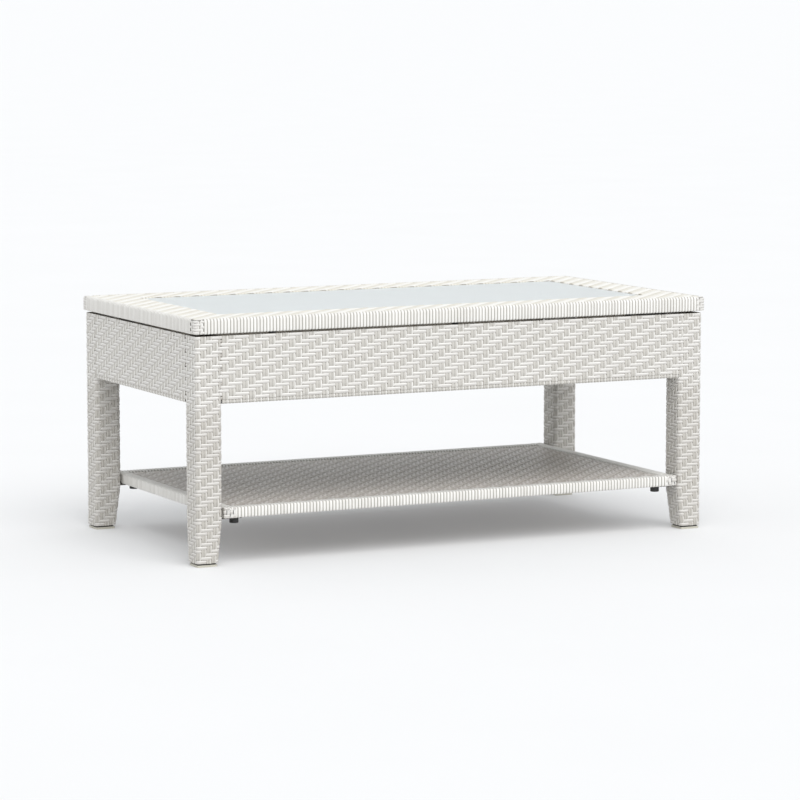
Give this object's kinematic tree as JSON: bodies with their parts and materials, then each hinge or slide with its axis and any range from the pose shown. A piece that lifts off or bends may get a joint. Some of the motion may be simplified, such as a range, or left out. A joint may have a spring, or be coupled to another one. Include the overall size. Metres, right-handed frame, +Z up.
{
  "type": "coffee table",
  "caption": "Rectangular garden coffee table in pale woven strand, with a loose glass top panel let into a flat woven border, tapered square legs and a woven lower shelf.",
  "frame": {"origin": "centre of the table's footprint on the floor", "axes": "+X along the table's length, +Y towards its back, +Z up"},
  "size_m": [1.2, 0.62, 0.507],
  "materials": {
    "wicker": "whitewashed woven polyethylene strand",
    "frame": "dark powder coat",
    "glass": "frosted tempered glass",
    "black_plastic": "moulded",
    "grey_plastic": "moulded",
    "steel": "zinc plated",
    "silicone": "clear soft pad"
  },
  "bodies": {
    "table": {"apron_bottom_rail_back": "frame", "apron_bottom_rail_front": "frame", "apron_bottom_rail_left": "frame", "apron_bottom_rail_right": "frame", "apron_top_rail_back": "frame", "apron_top_rail_front": "frame", "apron_top_rail_left": "frame", "apron_top_rail_right": "frame", "apron_weave_back": "wicker", "apron_weave_front": "wicker", "apron_weave_left": "wicker", "apron_weave_right": "wicker", "glass_bumpers": "silicone", "glass_tabs": "frame", "leg_end_plugs": "black_plastic", "leg_post_back_left": "frame", "leg_post_back_right": "frame", "leg_post_front_left": "frame", "leg_post_front_right": "frame", "leg_weave_back_left": "wicker", "leg_weave_back_right": "wicker", "leg_weave_front_left": "wicker", "leg_weave_front_right": "wicker", "lid_bolts": "steel", "lid_corner_weave": "wicker", "lid_inner_rail_back": "frame", "lid_inner_rail_front": "frame", "lid_inner_rail_left": "frame", "lid_inner_rail_right": "frame", "lid_outer_rail_back": "frame", "lid_outer_rail_front": "frame", "lid_outer_rail_left": "frame", "lid_outer_rail_right": "frame", "lid_ribs": "frame", "lid_spacers": "black_plastic", "lid_weave_back": "wicker", "lid_weave_front": "wicker", "lid_weave_left": "wicker", "lid_weave_right": "wicker", "shelf_bolt_caps": "black_plastic", "shelf_bolts": "steel", "shelf_bracket_back_left": "frame", "shelf_bracket_back_right": "frame", "shelf_bracket_front_left": "frame", "shelf_bracket_front_right": "frame", "shelf_cross_bars": "frame", "shelf_edge_weave_back": "wicker", "shelf_edge_weave_front": "wicker", "shelf_edge_weave_left": "wicker", "shelf_edge_weave_right": "wicker", "shelf_rail_back": "frame", "shelf_rail_front": "frame", "shelf_rail_left": "frame", "shelf_rail_right": "frame", "shelf_weave_field": "wicker"},
    "glass": {"glass_panel": "glass"},
    "foot_front_left": {"leveller_front_left": "grey_plastic"},
    "foot_front_right": {"leveller_front_right": "grey_plastic"},
    "foot_back_left": {"leveller_back_left": "grey_plastic"},
    "foot_back_right": {"leveller_back_right": "grey_plastic"}
  },
  "joints": [
    {"name": "glass_lift", "type": "slide", "parent": "table", "child": "glass", "axis": [0, 0, 1], "range_m": [0, 0.05]},
    {"name": "levelling_front_left", "type": "slide", "parent": "table", "child": "foot_front_left", "axis": [0, 0, -1], "range_m": [0, 0.008]},
    {"name": "levelling_front_right", "type": "slide", "parent": "table", "child": "foot_front_right", "axis": [0, 0, -1], "range_m": [0, 0.008]},
    {"name": "levelling_back_left", "type": "slide", "parent": "table", "child": "foot_back_left", "axis": [0, 0, -1], "range_m": [0, 0.008]},
    {"name": "levelling_back_right", "type": "slide", "parent": "table", "child": "foot_back_right", "axis": [0, 0, -1], "range_m": [0, 0.008]}
  ]
}
